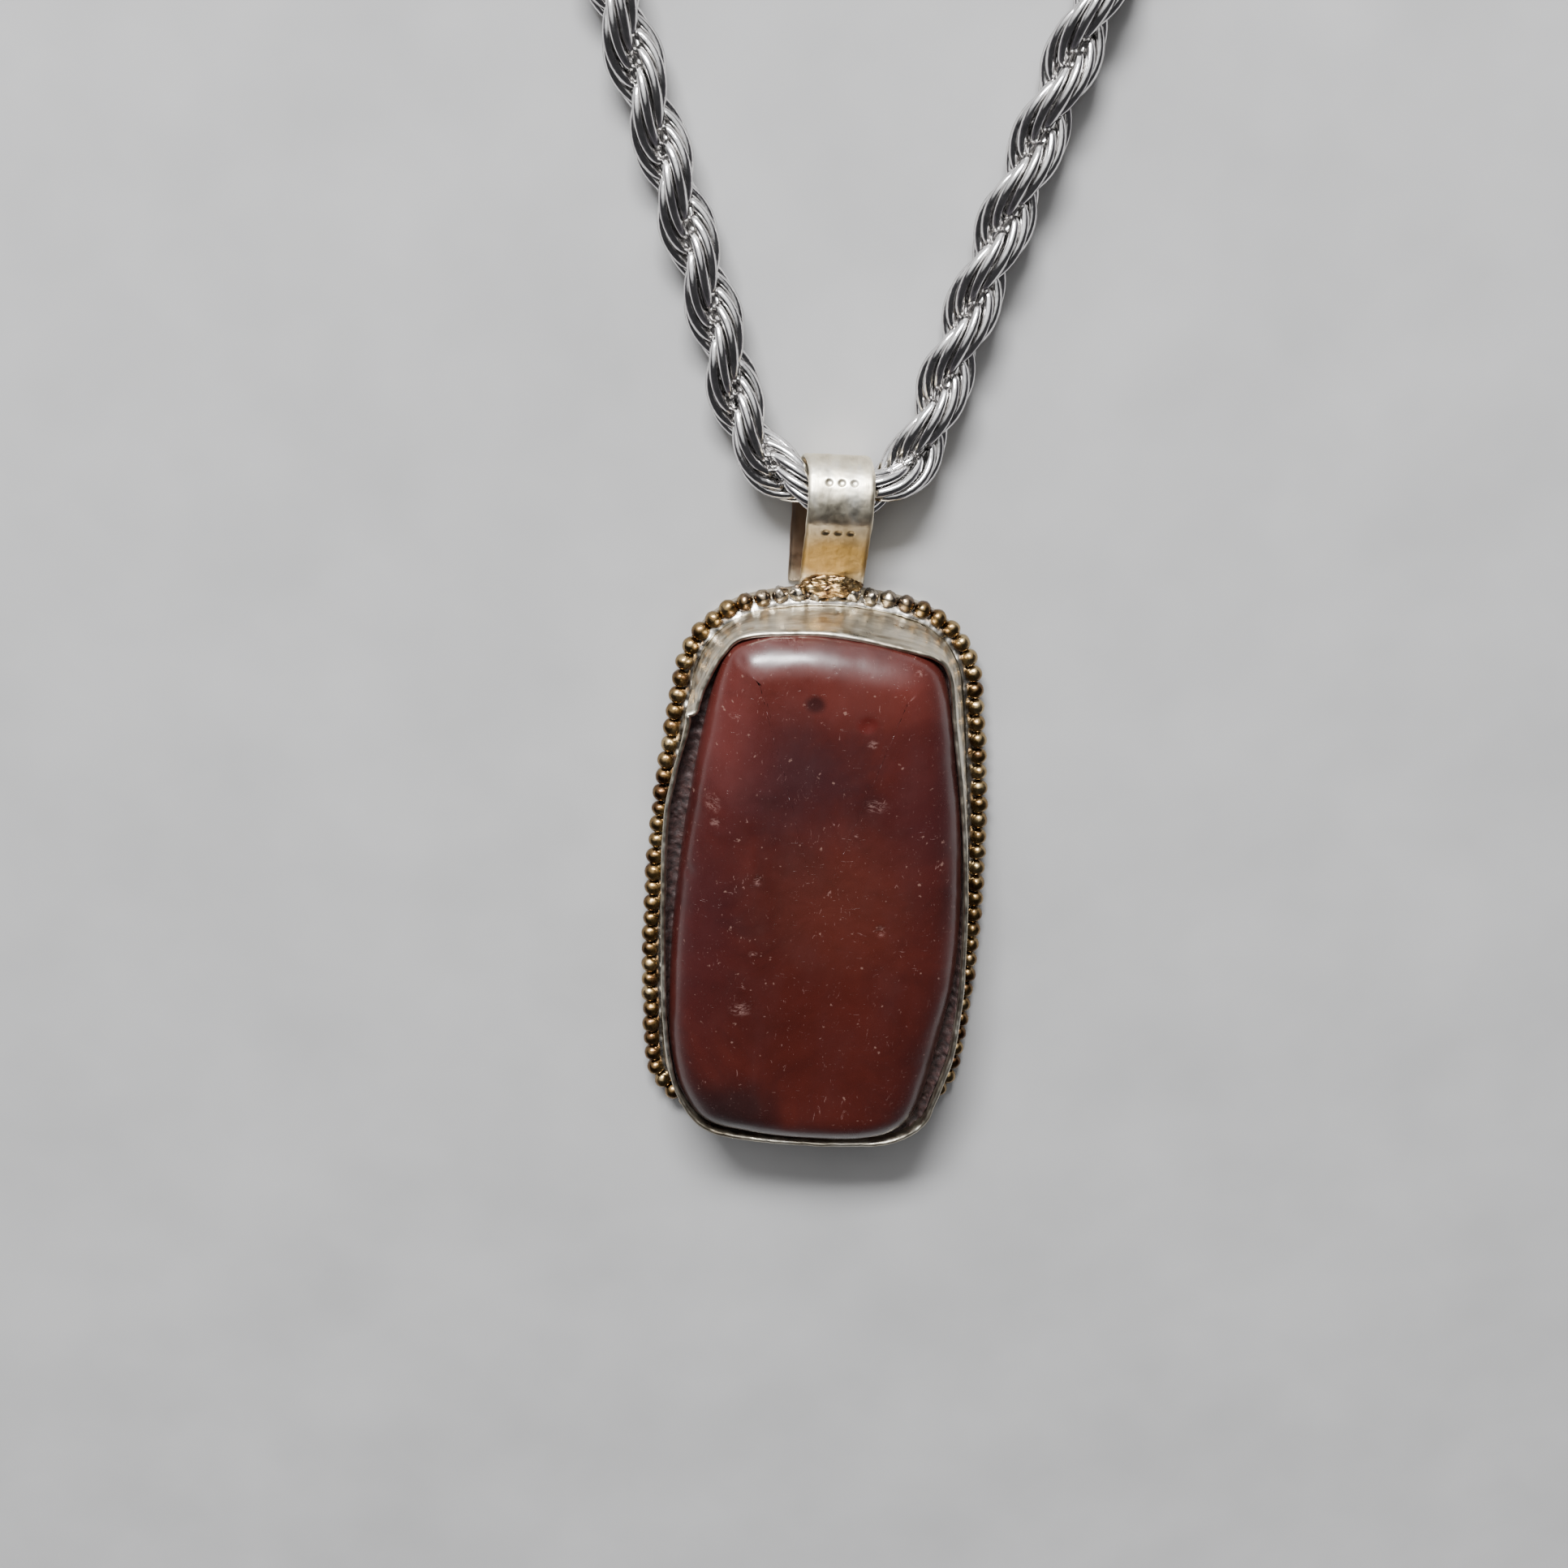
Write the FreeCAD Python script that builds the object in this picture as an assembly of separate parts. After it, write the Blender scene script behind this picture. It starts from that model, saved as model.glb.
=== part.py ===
"""Pendant necklace: a barrel-shaped stone in a strip bezel with a beaded border, on a rope chain.

Millimetres. The necklace lies flat on z = 0. +Y runs along the pendant towards its bail, +Z is the
normal of the back plate, and the origin is the middle of the pendant's and bail's footprint.
"""

import math
import os

import FreeCAD
import Part

V = FreeCAD.Vector
UP = V(0, 0, 1)
RIGHT = V(1, 0, 0)

# Pendant outline, measured over the beads: four shallow arcs joined by rounded corners.
PENDANT_LENGTH = 70.0  # over the bail and the setting
SETTING_LENGTH = 57.0
SETTING_WIDTH = 32.9
WIDEST_Y = -13.0
SIDE_RADIUS = 165.0
TOP_RADIUS = 28.0
FOOT_RADIUS = 50.0
TOP_CORNER = 9.5
FOOT_CORNER = 7.5

PLATE_THICKNESS = 0.8
PLATE_INSET = 0.6
BEAD_RADIUS = 0.8
BEAD_SINK = 0.2  # how far each bead is flattened on the plate
BEAD_COUNT = 92
WALL_INSET = 2.0
WALL_THICKNESS = 0.45
RIM_HEIGHT = 8.0
FOOT_WIRE_HEIGHT = 0.55
FOOT_WIRE_GAP = 0.02

# Stone: a tabular barrel with a crowned face.
STONE_LENGTH = 51.4
STONE_WIDTH = 26.5
STONE_Y = -6.7
STONE_WIDEST_Y = -9.0
STONE_SIDE_RADIUS = 85.0
STONE_END_RADIUS = 45.0
STONE_TOP_CORNER = 4.0
STONE_FOOT_CORNER = 5.5
STONE_BACK = 2.2
STONE_FACE = 10.6
STONE_CROWN_RADIUS = 62.0
STONE_EDGE = 2.6
CEMENT_HEIGHT = 6.8

# Bail: one strap bent round the chain, its two ends brought down to the plate.
BAIL_X = -0.4
BAIL_WIDTH = 5.8
BAIL_THICKNESS = 0.6
BAIL_INNER_RADIUS = 3.3
BAIL_FOOT_HEIGHT = 1.3
BAIL_OVERLAP = 0.6  # how far the strap's foot comes down over the setting's edge
BAIL_GAP_FROM_EDGE = 0.35  # from the setting's edge to the start of the hollow under the strap
SOLDER_WIDTH = 5.0
SOLDER_REACH = 1.5
SOLDER_HEIGHT = 0.5  # of the lump's middle above the plate

# Rope chain.
CHAIN_DIAMETER = 5.0
CHAIN_REST = CHAIN_DIAMETER / 2
CAP_RADIUS = 2.95
CAP_LENGTH = 6.4
CAP_SOCKET = 3.2
CAP_SOCKET_RADIUS = 2.56
EYE_RADIUS = 1.75
EYE_HOLE = 1.0
EYE_THICKNESS = 0.9
EYE_REACH = 1.6  # from the cap's end to the hole's centre
EYE_ROOT = 1.0  # how far the eye's tab runs into the cap

# Lobster clasp, laid open.
RING_RADIUS = 2.0
RING_WIRE = 0.4
CLASP_THICKNESS = 3.0
CLASP_LIFT = 0.1
TAIL_LENGTH = 3.0
TAIL_WAIST = 0.5  # how much narrower the tail is than its eye, on each side
NECK_FROM = 1.9
NECK_LENGTH = 3.4
NECK_SHOULDER = 0.4
CLASP_ROUNDING = 0.5
HOOK_STEP = 0.4  # how much thinner the hook is than the neck
HOOK_FROM = 145.0  # degrees round the hook
HOOK_CENTRE = 7.0
HOOK_RADIUS = 3.3
HOOK_INNER = 1.9
NECK_WIDTH = 3.8
LEVER_THICKNESS = 1.1
SLOT_HEIGHT = 1.5
SLOT_FROM = 2.7
SLOT_LENGTH = 4.2
SLOT_SIDE = 0.2  # from the clasp's axis to the closed side of the slot
SLOT_DEPTH = 4.0
PIN_U = 4.1
PIN_V = 1.55
PIN_RADIUS = 0.35
COIL_RADIUS = 0.62
LEVER_BORE = 0.7
LEVER_ROOT = 1.15
LEVER_LENGTH = 4.1
LEVER_WIDTH = 0.9
LEVER_SLOPE = -8.0
LEVER_RECESS = 0.3
LEVER_FROM = 80.0  # degrees round the hook
LEVER_TO = 150.0
THUMB_LENGTH = 1.3
THUMB_HEIGHT = 2.6
THUMB_BACK = 0.9
THUMB_RISE = 0.3
HOOK_TIP = 60.0

SETTING_TOP = PENDANT_LENGTH / 2 - (PENDANT_LENGTH - SETTING_LENGTH)
SETTING_FOOT = -PENDANT_LENGTH / 2
BAIL_OUTER_RADIUS = BAIL_INNER_RADIUS + BAIL_THICKNESS
CHAIN_Y = PENDANT_LENGTH / 2 - BAIL_OUTER_RADIUS
CHAIN_Z = BAIL_OUTER_RADIUS

# The chain's route from its left end, through the bail, to its right end. Both strands rise from
# the bail, cross once at the far side, and come back inside as a doubled loop.
ROUTE = [
    (-3.6, 89.3, 2.95),
    (5.8, 90.5, 2.95),
    (13.4, 96.4, 2.5),
    (17.3, 106.6, 2.5),
    (18.0, 116.5, 2.5),
    (16.8, 127.5, 2.5),
    (13.8, 138.6, 2.5),
    (5.4, 149.1, 8.2),
    (-5.9, 155.1, 8.2),
    (-17.9, 154.4, 4.1),
    (-26.5, 147.2, 2.5),
    (-30.0, 135.0, 2.5),
    (-30.6, 116.0, 2.5),
    (-28.8, 98.5, 2.5),
    (-23.8, 78.4, 2.5),
    (-17.2, 60.2, 2.5),
    (-11.2, 43.8, 2.5),
    (-8.9, 35.2, 2.5),
    (-4.1, CHAIN_Y, CHAIN_Z),
    (3.3, CHAIN_Y, CHAIN_Z),
    (6.9, 35.1, 2.5),
    (9.0, 44.4, 2.5),
    (14.1, 61.0, 2.5),
    (19.8, 79.0, 2.5),
    (26.0, 99.0, 2.5),
    (28.6, 115.0, 2.5),
    (27.9, 134.8, 2.5),
    (24.0, 147.4, 2.5),
    (15.6, 154.7, 2.5),
    (4.2, 155.7, 2.5),
    (-6.8, 149.3, 2.5),
    (-13.2, 138.6, 2.5),
    (-15.4, 126.2, 2.95),
    (-14.8, 116.1, 2.95),
]


def point(values):
    return V(*values)


def bounded(cylinders, corner_top, corner_foot, split_y):
    """The common prism of four cylinders, with its upright edges rounded."""
    prism = cylinders[0]
    for cylinder in cylinders[1:]:
        prism = prism.common(cylinder)
    prism = prism.removeSplitter()
    upright = [e for e in prism.Edges if abs(e.tangentAt(e.FirstParameter).z) > 0.99]
    top = [e for e in upright if e.CenterOfMass.y > split_y]
    foot = [e for e in upright if e.CenterOfMass.y < split_y]
    return prism.makeFillet(corner_top, top).makeFillet(corner_foot, foot)


def setting_prism(inset, low, high):
    """The setting's outline, brought in by inset, from height low to high."""
    height = high - low
    reach = SIDE_RADIUS - SETTING_WIDTH / 2
    cylinders = [
        Part.makeCylinder(SIDE_RADIUS - inset, height, V(reach, WIDEST_Y, low)),
        Part.makeCylinder(SIDE_RADIUS - inset, height, V(-reach, WIDEST_Y, low)),
        Part.makeCylinder(TOP_RADIUS - inset, height, V(0, SETTING_TOP - TOP_RADIUS, low)),
        Part.makeCylinder(FOOT_RADIUS - inset, height, V(0, SETTING_FOOT + FOOT_RADIUS, low)),
    ]
    # The top arc is only a cap: below it the prism runs straight down past the foot.
    cap = cylinders[2].fuse(
        Part.makeBox(
            4 * TOP_RADIUS,
            SETTING_LENGTH,
            height,
            V(-2 * TOP_RADIUS, SETTING_TOP - TOP_RADIUS - SETTING_LENGTH, low),
        )
    )
    return bounded([cylinders[0], cylinders[1], cap, cylinders[3]], TOP_CORNER - inset,
                   FOOT_CORNER - inset, 0)


def back_plate():
    return setting_prism(PLATE_INSET, 0, PLATE_THICKNESS)


def bezel_wall():
    outer = setting_prism(WALL_INSET, PLATE_THICKNESS, RIM_HEIGHT)
    return outer.cut(setting_prism(WALL_INSET + WALL_THICKNESS, PLATE_THICKNESS, RIM_HEIGHT))


def bezel_foot_wire():
    """The low ledge between the beads and the wall."""
    top = PLATE_THICKNESS + FOOT_WIRE_HEIGHT
    outer = setting_prism(2 * BEAD_RADIUS + FOOT_WIRE_GAP, PLATE_THICKNESS, top)
    return outer.cut(setting_prism(WALL_INSET, PLATE_THICKNESS, top))


def bead(centre):
    """A granule with a flat where it is soldered on."""
    flat = -math.degrees(math.asin(1 - BEAD_SINK / BEAD_RADIUS))
    return Part.makeSphere(BEAD_RADIUS, centre, UP, flat, 90, 360)


def beaded_border():
    height = PLATE_THICKNESS + BEAD_RADIUS - BEAD_SINK
    prism = setting_prism(BEAD_RADIUS, height, height + 1)
    floor = [f for f in prism.Faces if abs(f.CenterOfMass.z - height) < 1e-3][0]
    loop = Part.Wire(Part.__sortEdges__(floor.OuterWire.Edges))
    places = loop.discretize(Number=BEAD_COUNT + 1)[:-1]
    print("bead pitch", round(loop.Length / BEAD_COUNT, 3))
    return Part.Compound([bead(place) for place in places])


def stone():
    height = STONE_FACE - STONE_BACK
    reach = STONE_SIDE_RADIUS - STONE_WIDTH / 2
    end = STONE_LENGTH / 2 - STONE_END_RADIUS
    cylinders = [
        Part.makeCylinder(STONE_SIDE_RADIUS, height, V(reach, STONE_WIDEST_Y, STONE_BACK)),
        Part.makeCylinder(STONE_SIDE_RADIUS, height, V(-reach, STONE_WIDEST_Y, STONE_BACK)),
        Part.makeCylinder(STONE_END_RADIUS, height, V(0, STONE_Y + end, STONE_BACK)),
        Part.makeCylinder(STONE_END_RADIUS, height, V(0, STONE_Y - end, STONE_BACK)),
    ]
    blank = bounded(cylinders, STONE_TOP_CORNER, STONE_FOOT_CORNER, STONE_Y)
    crown = Part.makeCylinder(
        STONE_CROWN_RADIUS,
        2 * STONE_LENGTH,
        V(0, STONE_Y - STONE_LENGTH, STONE_FACE - STONE_CROWN_RADIUS),
        V(0, 1, 0),
    )
    middle = (STONE_FACE + STONE_BACK) / 2
    face = [e for e in blank.Edges if e.BoundBox.ZMin > middle]
    return blank.makeFillet(STONE_EDGE, face).common(crown)


def setting_cement(gem):
    inset = WALL_INSET + WALL_THICKNESS
    return setting_prism(inset, PLATE_THICKNESS, CEMENT_HEIGHT).cut(gem)


def bail_profile(radius, foot_y, foot_z, base):
    """Teardrop round the chain: flat below, an arc over the far side, a slope down to the foot."""
    to_centre = V(0, CHAIN_Y - foot_y, CHAIN_Z - foot_z)
    half = math.asin(radius / to_centre.Length)
    slope = math.atan2(to_centre.z, to_centre.y) + half
    centre = V(0, CHAIN_Y, CHAIN_Z)
    touch = centre + V(0, -math.sin(slope), math.cos(slope)) * radius
    start = V(0, foot_y, base)
    under = V(0, CHAIN_Y, base)
    edges = [
        Part.LineSegment(start, under),
        Part.Arc(under, centre + V(0, radius, 0), touch),
        Part.LineSegment(touch, V(0, foot_y, foot_z)),
    ]
    if foot_z > base:
        edges.append(Part.LineSegment(V(0, foot_y, foot_z), start))
    face = Part.Face(Part.Wire([edge.toShape() for edge in edges]))
    face.translate(V(BAIL_X - BAIL_WIDTH / 2, 0, 0))
    return face


def bail_strap(plate, beads):
    outer = bail_profile(BAIL_OUTER_RADIUS, SETTING_TOP - BAIL_OVERLAP, BAIL_FOOT_HEIGHT, 0)
    slope_height = BAIL_FOOT_HEIGHT - BAIL_THICKNESS
    inner_foot = SETTING_TOP + BAIL_GAP_FROM_EDGE
    inner = bail_profile(BAIL_INNER_RADIUS, inner_foot, slope_height, BAIL_THICKNESS)
    strap = outer.extrude(RIGHT * BAIL_WIDTH).cut(inner.extrude(RIGHT * BAIL_WIDTH))
    strap = strap.cut(plate).cut(beads)
    return max(strap.Solids, key=lambda solid: solid.Volume)


def bail_solder(strap, beads):
    """Lump in the corner between the bail's slope and the beads."""
    middle = V(BAIL_X - SOLDER_WIDTH / 2, SETTING_TOP, PLATE_THICKNESS + SOLDER_HEIGHT)
    lump = Part.makeCylinder(SOLDER_REACH, SOLDER_WIDTH, middle, RIGHT)
    below = middle - V(0, SOLDER_REACH, SOLDER_HEIGHT + 2 * SOLDER_REACH)
    lump = lump.cut(Part.makeBox(SOLDER_WIDTH, 2 * SOLDER_REACH, 2 * SOLDER_REACH, below))
    lump = lump.cut(strap).cut(beads)
    return max(lump.Solids, key=lambda solid: solid.Volume)


def rounded_path(points):
    """Straight runs joined by tangent arcs, each as large as its two runs allow."""
    edges = []
    radii = []
    start = points[0]
    for before, corner, after in zip(points, points[1:], points[2:]):
        back = before - corner
        ahead = after - corner
        turn = math.pi - back.getAngle(ahead)
        tangent = 0.45 * min(back.Length, ahead.Length)
        radius = tangent / math.tan(turn / 2)
        back.normalize()
        ahead.normalize()
        bisector = back + ahead
        bisector.normalize()
        deep = radius / math.cos(turn / 2) - radius
        first = corner + back * tangent
        last = corner + ahead * tangent
        edges.append(Part.LineSegment(start, first).toShape())
        edges.append(Part.Arc(first, corner + bisector * deep, last).toShape())
        radii.append(radius)
        start = last
    edges.append(Part.LineSegment(start, points[-1]).toShape())
    return Part.Wire(edges), radii


def rope_chain():
    path, radii = rounded_path([point(p) for p in ROUTE])
    heading = point(ROUTE[1]) - point(ROUTE[0])
    circle = Part.Circle(point(ROUTE[0]), heading, CHAIN_DIAMETER / 2)
    tube = path.makePipe(Part.Face(Part.Wire(circle.toShape())))
    section = math.pi * CHAIN_DIAMETER**2 / 4
    print("chain radii", [round(r, 1) for r in radii])
    print("chain length", round(path.Length, 1), "volume / section x length",
          round(tube.Volume / (section * path.Length), 5))
    return tube


def end_frame(end, neighbour):
    """Placement whose X axis runs out of the chain's end, level with the ground."""
    out = point(end) - point(neighbour)
    angle = math.degrees(math.atan2(out.y, out.x))
    return FreeCAD.Placement(point(end), FreeCAD.Rotation(UP, angle))


def eye(radius, hole, thickness, centre):
    low = centre - V(0, 0, thickness / 2)
    return Part.makeCylinder(radius, thickness, low), Part.makeCylinder(hole, thickness, low)


def end_cap(placement):
    """Cup over the chain's end, with a flat eye on its closed end."""
    closed = CAP_LENGTH - CAP_SOCKET
    cup = Part.makeCylinder(CAP_RADIUS, CAP_LENGTH, V(-CAP_SOCKET, 0, 0), RIGHT)
    rounded = [e for e in cup.Edges if e.BoundBox.XMin > closed - 0.01]
    cup = cup.makeFillet(CAP_RADIUS / 2, rounded)
    socket = Part.makeCylinder(CAP_SOCKET_RADIUS, CAP_SOCKET, V(-CAP_SOCKET, 0, 0), RIGHT)
    disc, hole = eye(EYE_RADIUS, EYE_HOLE, EYE_THICKNESS, V(closed + EYE_REACH, 0, 0))
    tab = Part.makeBox(EYE_REACH + EYE_ROOT, 2 * EYE_RADIUS, EYE_THICKNESS,
                       V(closed - EYE_ROOT, -EYE_RADIUS, -EYE_THICKNESS / 2))
    cap = cup.cut(socket).fuse([disc, tab]).cut(hole).removeSplitter()
    cap.Placement = placement
    return cap


def cap_eye(placement):
    return placement.multVec(V(CAP_LENGTH - CAP_SOCKET + EYE_REACH, 0, 0))


def jump_ring(placement, hang):
    """Upright ring through a cap's eye; returns it with the place of its far side at height hang."""
    hole = cap_eye(placement)
    centre_z = RING_RADIUS + RING_WIRE
    near = math.sqrt(RING_RADIUS**2 - (hole.z - centre_z) ** 2)
    far = math.sqrt(RING_RADIUS**2 - (hang - centre_z) ** 2)
    out = placement.Rotation.multVec(RIGHT)
    centre = V(hole.x, hole.y, centre_z) + out * near
    ring = Part.makeTorus(RING_RADIUS, RING_WIRE, centre, placement.Rotation.multVec(V(0, 1, 0)))
    return ring, V(centre.x, centre.y, hang) + out * far


def sector(outer, inner, low_deg, high_deg, thickness):
    """Part of a flat ring about the hook's centre, between two angles."""
    sweep = high_deg - low_deg
    centre = V(HOOK_CENTRE, 0, -thickness / 2)
    piece = Part.makeCylinder(outer, thickness, centre, UP, sweep)
    piece = piece.cut(Part.makeCylinder(inner, thickness, centre))
    piece.rotate(centre, UP, low_deg)
    return piece


def clasp_body(placement):
    """Lobster hook: a tail eye, a slotted neck and an open hook."""
    disc, hole = eye(EYE_RADIUS, EYE_HOLE, EYE_THICKNESS, V(0, 0, 0))
    tail = Part.makeBox(TAIL_LENGTH, 2 * (EYE_RADIUS - TAIL_WAIST), EYE_THICKNESS,
                        V(0, TAIL_WAIST - EYE_RADIUS, -EYE_THICKNESS / 2))
    neck = Part.makeBox(NECK_LENGTH, NECK_WIDTH + NECK_SHOULDER, CLASP_THICKNESS,
                        V(NECK_FROM, -NECK_WIDTH / 2, -CLASP_THICKNESS / 2))
    near = [e for e in neck.Edges if e.BoundBox.XMax < NECK_FROM + 0.05]
    neck = neck.makeFillet(CLASP_ROUNDING, near)
    hook = sector(HOOK_RADIUS, HOOK_INNER, HOOK_FROM, 360 + HOOK_TIP, CLASP_THICKNESS - HOOK_STEP)
    body = disc.fuse([tail, neck, hook]).cut(hole)
    body = body.cut(Part.makeCylinder(HOOK_INNER, CLASP_THICKNESS,
                                      V(HOOK_CENTRE, 0, -CLASP_THICKNESS / 2)))
    slot = Part.makeBox(SLOT_LENGTH, SLOT_DEPTH, SLOT_HEIGHT, V(SLOT_FROM, SLOT_SIDE, -SLOT_HEIGHT / 2))
    body = body.cut(slot)
    body = body.cut(clasp_pin_solid()).removeSplitter()
    body.Placement = placement
    return body


def clasp_pin_solid():
    low = V(PIN_U, PIN_V, -CLASP_THICKNESS / 2)
    return Part.makeCylinder(PIN_RADIUS, CLASP_THICKNESS, low)


def clasp_pin(placement):
    pin = clasp_pin_solid()
    pin.Placement = placement
    return pin


def clasp_spring(placement):
    """The coil round the pin, as one closed sleeve."""
    low = V(PIN_U, PIN_V, -LEVER_THICKNESS / 2)
    coil = Part.makeCylinder(COIL_RADIUS, LEVER_THICKNESS, low)
    coil = coil.cut(Part.makeCylinder(PIN_RADIUS, LEVER_THICKNESS, low))
    coil.Placement = placement
    return coil


def clasp_trigger(placement):
    """Lever that closes the hook from inside, with a thumb tab beside its pivot."""
    low = V(PIN_U, PIN_V, -LEVER_THICKNESS / 2)
    cover = sector(HOOK_RADIUS - LEVER_RECESS, HOOK_INNER, LEVER_FROM, LEVER_TO, LEVER_THICKNESS)
    root = Part.makeCylinder(LEVER_ROOT, LEVER_THICKNESS, low)
    bar = Part.makeBox(LEVER_LENGTH, LEVER_WIDTH, LEVER_THICKNESS, low - V(0, LEVER_WIDTH / 2, 0))
    bar.rotate(low, UP, LEVER_SLOPE)
    tab = Part.makeBox(THUMB_LENGTH, THUMB_HEIGHT, LEVER_THICKNESS, low + V(-THUMB_BACK, THUMB_RISE, 0))
    crest = low.y + THUMB_RISE + THUMB_HEIGHT
    tab = tab.makeFillet(CLASP_ROUNDING, [e for e in tab.Edges if e.BoundBox.YMin > crest - 0.1])
    lever = cover.fuse([root, bar, tab])
    lever = lever.cut(Part.makeCylinder(LEVER_BORE, LEVER_THICKNESS, low)).removeSplitter()
    lever.Placement = placement
    return lever


def clasp_placement(hole, like):
    return FreeCAD.Placement(hole, like.Rotation)


def build():
    plate = back_plate()
    beads = beaded_border()
    gem = stone()
    strap = bail_strap(plate, beads)
    left = end_frame(ROUTE[0], ROUTE[1])
    right = end_frame(ROUTE[-1], ROUTE[-2])
    hang = CLASP_LIFT + CLASP_THICKNESS / 2
    clasp_ring, clasp_hole = jump_ring(right, hang)
    catch_ring, _ = jump_ring(left, hang)
    clasp = clasp_placement(clasp_hole, right)
    for label, place in (
        ("catch ring axis", cap_eye(left)),
        ("clasp ring axis", cap_eye(right)),
        ("clasp axis", clasp_hole),
        ("trigger axis", clasp.multVec(V(PIN_U, PIN_V, 0))),
    ):
        print(label, [round(value, 4) for value in place])
    return {
        "back_plate": plate,
        "beaded_border": beads,
        "bezel_foot_wire": bezel_foot_wire(),
        "bezel_wall": bezel_wall(),
        "stone": gem,
        "setting_cement": setting_cement(gem),
        "bail_strap": strap,
        "bail_solder": bail_solder(strap, beads),
        "rope_chain": rope_chain(),
        "end_cap_left": end_cap(left),
        "end_cap_right": end_cap(right),
        "catch_ring": catch_ring,
        "clasp_ring": clasp_ring,
        "clasp_body": clasp_body(clasp),
        "clasp_pin": clasp_pin(clasp),
        "clasp_spring": clasp_spring(clasp),
        "clasp_trigger": clasp_trigger(clasp),
    }


os.makedirs("parts", exist_ok=True)
for name, shape in build().items():
    box = shape.optimalBoundingBox()
    print(f"{name:16} valid {shape.isValid()} solids {len(shape.Solids):3d} volume {shape.Volume:9.3f}",
          f"x {box.XMin:.2f}..{box.XMax:.2f} y {box.YMin:.2f}..{box.YMax:.2f} z {box.ZMin:.2f}..{box.ZMax:.2f}")
    shape.exportStep(f"parts/{name}.step")
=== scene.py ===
"""Looks of the pendant necklace around its CAD frame: metres, the frame's own axes."""

import math

import bmesh
import bpy
import numpy as np
from mathutils import Matrix, Vector, noise


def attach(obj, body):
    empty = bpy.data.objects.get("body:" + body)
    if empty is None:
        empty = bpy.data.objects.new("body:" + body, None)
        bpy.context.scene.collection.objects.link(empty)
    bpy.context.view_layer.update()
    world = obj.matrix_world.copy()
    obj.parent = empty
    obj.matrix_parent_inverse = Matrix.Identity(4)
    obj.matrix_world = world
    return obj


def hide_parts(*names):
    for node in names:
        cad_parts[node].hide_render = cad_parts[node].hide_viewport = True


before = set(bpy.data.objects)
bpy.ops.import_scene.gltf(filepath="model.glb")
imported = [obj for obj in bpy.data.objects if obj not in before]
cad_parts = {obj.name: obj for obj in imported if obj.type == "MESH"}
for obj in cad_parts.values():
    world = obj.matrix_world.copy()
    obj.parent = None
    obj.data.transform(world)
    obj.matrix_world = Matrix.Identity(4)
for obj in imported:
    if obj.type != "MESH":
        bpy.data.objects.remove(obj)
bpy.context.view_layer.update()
MM = 0.001

# ---------------------------------------------------------------- view
AIM = Vector((-3.7, 3.15, 4.0)) * MM
DISTANCE = 0.200
TILT = math.radians(23.0)  # from the stone's normal towards the bail
SIDE = math.radians(3.0)  # towards the left
ROLL = math.radians(3.5)
LENS_MM = 49.4


def add_camera():
    away = Vector((-math.sin(SIDE), math.sin(TILT) * math.cos(SIDE), math.cos(TILT) * math.cos(SIDE)))
    right = (-away).cross(Vector((0, 1, 0))).normalized()
    up = right.cross(-away)
    turned_right = right * math.cos(ROLL) + up * math.sin(ROLL)
    turned_up = up * math.cos(ROLL) - right * math.sin(ROLL)
    data = bpy.data.cameras.new("camera")
    data.lens = LENS_MM
    data.sensor_width = 36.0
    data.clip_start = 0.01
    camera = bpy.data.objects.new("camera", data)
    bpy.context.scene.collection.objects.link(camera)
    axes = Matrix((turned_right, turned_up, away)).transposed()
    camera.matrix_world = Matrix.Translation(AIM + away * DISTANCE) @ axes.to_4x4()
    bpy.context.scene.camera = camera


add_camera()

# ---------------------------------------------------------------- sizes, in mm
# The setting's outline: shallow arcs at its top, sides and foot, joined by rounded corners.
SETTING_TOP = 22.0
SETTING_FOOT = -35.0
SETTING_HALF = 16.45
WIDEST_Y = -13.0
SIDE_RADIUS = 165.0
TOP_RADIUS = 28.0
FOOT_RADIUS = 50.0
TOP_CORNER = 9.5
FOOT_CORNER = 7.5
PLATE_TOP = 0.8
BEAD_RADIUS = 0.8
BEAD_COUNT = 92
BEAD_HEIGHT = 0.62  # a bead's centre over the plate
FLOODED_REACH = 5.5  # how far solder runs over the beads on each side of the bail
FLOODED_ABOVE = 18.0  # only beads beyond this Y are flooded
WALL_INSET = 2.0
WALL_THICKNESS = 0.42
BAIL_X = -0.4
BAIL_WIDTH = 5.8
BAIL_THICKNESS = 0.5
BAIL_RADIUS = 3.62  # of the strap's outer face round the chain
BAIL_Y = 30.8  # middle of that bend
REAR_SHIFT = 1.0  # how far the strap's rear leg sits to the left of its front
SHIFT_FROM = 14.0  # distance along the strap where that shift begins

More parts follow.
